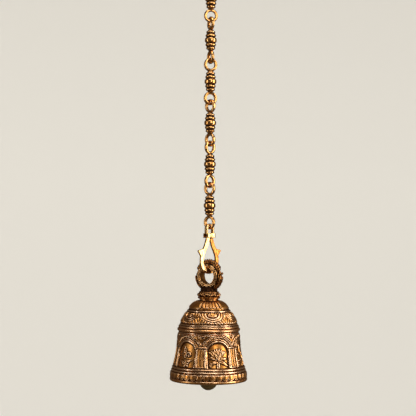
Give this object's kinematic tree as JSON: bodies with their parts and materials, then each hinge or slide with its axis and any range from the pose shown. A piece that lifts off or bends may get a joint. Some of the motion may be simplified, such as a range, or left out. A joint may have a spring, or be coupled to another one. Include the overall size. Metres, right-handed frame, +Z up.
{
  "type": "temple bell",
  "caption": "Cast brass temple bell with a ball clapper, hung by its moulded crown ring from a riveted double hook and a chain of barrel links.",
  "frame": {"origin": "centre of the top link's free eye, where the chain hangs on its support", "axes": "+Z up along the chain, -Y towards the front, +X to the right seen from the front"},
  "size_m": [0.0998, 0.0998, 0.5303],
  "materials": {
    "chain_brass": "rubbed antique brass",
    "hook_brass": "polished antique brass",
    "bell_brass": "dark antique brass",
    "inner_brass": "dull brass",
    "ball_brass": "tarnished brass",
    "fastener_steel": "dull zinc"
  },
  "bodies": {
    "link_1": {"chain_link_1": "chain_brass"},
    "link_2": {"chain_link_2": "chain_brass"},
    "link_3": {"chain_link_3": "chain_brass"},
    "link_4": {"chain_link_4": "chain_brass"},
    "link_5": {"chain_link_5": "chain_brass"},
    "link_6": {"chain_link_6": "chain_brass"},
    "shackle": {"hook_shackle": "hook_brass", "hook_rivet": "hook_brass"},
    "hook_front": {"hook_front": "hook_brass"},
    "hook_rear": {"hook_rear": "hook_brass"},
    "bell": {"crown_loop": "bell_brass", "lotus_collar": "bell_brass", "bell_shell": "bell_brass", "clapper_staple": "inner_brass", "staple_washer": "fastener_steel", "staple_nut": "fastener_steel"},
    "clapper_link": {"clapper_link": "inner_brass"},
    "clapper": {"clapper_rod": "inner_brass", "clapper_ball": "ball_brass"}
  },
  "joints": [
    {"name": "link_2_swing", "type": "hinge", "parent": "link_1", "child": "link_2", "pos_m": [0, 0, -0.05005], "axis": [0.9848, 0.1736, 0], "range_deg": [-80, 80]},
    {"name": "link_3_swing", "type": "hinge", "parent": "link_2", "child": "link_3", "pos_m": [0, 0, -0.10285], "axis": [0.3746, -0.9272, 0], "range_deg": [-80, 80]},
    {"name": "link_4_swing", "type": "hinge", "parent": "link_3", "child": "link_4", "pos_m": [0, 0, -0.15565], "axis": [0.9397, 0.342, 0], "range_deg": [-80, 80]},
    {"name": "link_5_swing", "type": "hinge", "parent": "link_4", "child": "link_5", "pos_m": [0, 0, -0.20845], "axis": [0.6691, -0.7431, 0], "range_deg": [-80, 80]},
    {"name": "link_6_swing", "type": "hinge", "parent": "link_5", "child": "link_6", "pos_m": [0, 0, -0.26125], "axis": [0.6947, 0.7193, 0], "range_deg": [-80, 80]},
    {"name": "shackle_swing", "type": "hinge", "parent": "link_6", "child": "shackle", "pos_m": [0, 0, -0.31405], "axis": [0.7431, -0.6691, 0], "range_deg": [-60, 60]},
    {"name": "hook_front_open", "type": "hinge", "parent": "shackle", "child": "hook_front", "pos_m": [0, 0, -0.32485], "axis": [-0.6691, 0.7431, 0], "range_deg": [0, 25]},
    {"name": "hook_rear_open", "type": "hinge", "parent": "shackle", "child": "hook_rear", "pos_m": [0, 0, -0.32485], "axis": [0.6691, -0.7431, 0], "range_deg": [0, 25]},
    {"name": "bell_swing", "type": "hinge", "parent": "shackle", "child": "bell", "pos_m": [0, 0, -0.36945], "axis": [-0.5446, -0.8387, 0], "range_deg": [-40, 40]},
    {"name": "clapper_link_swing", "type": "hinge", "parent": "bell", "child": "clapper_link", "pos_m": [0, 0, -0.43375], "axis": [1, 0, 0], "range_deg": [-6, 6]},
    {"name": "clapper_swing", "type": "hinge", "parent": "clapper_link", "child": "clapper", "pos_m": [0, 0, -0.45045], "axis": [0, 1, 0], "range_deg": [-30, 30]}
  ]
}
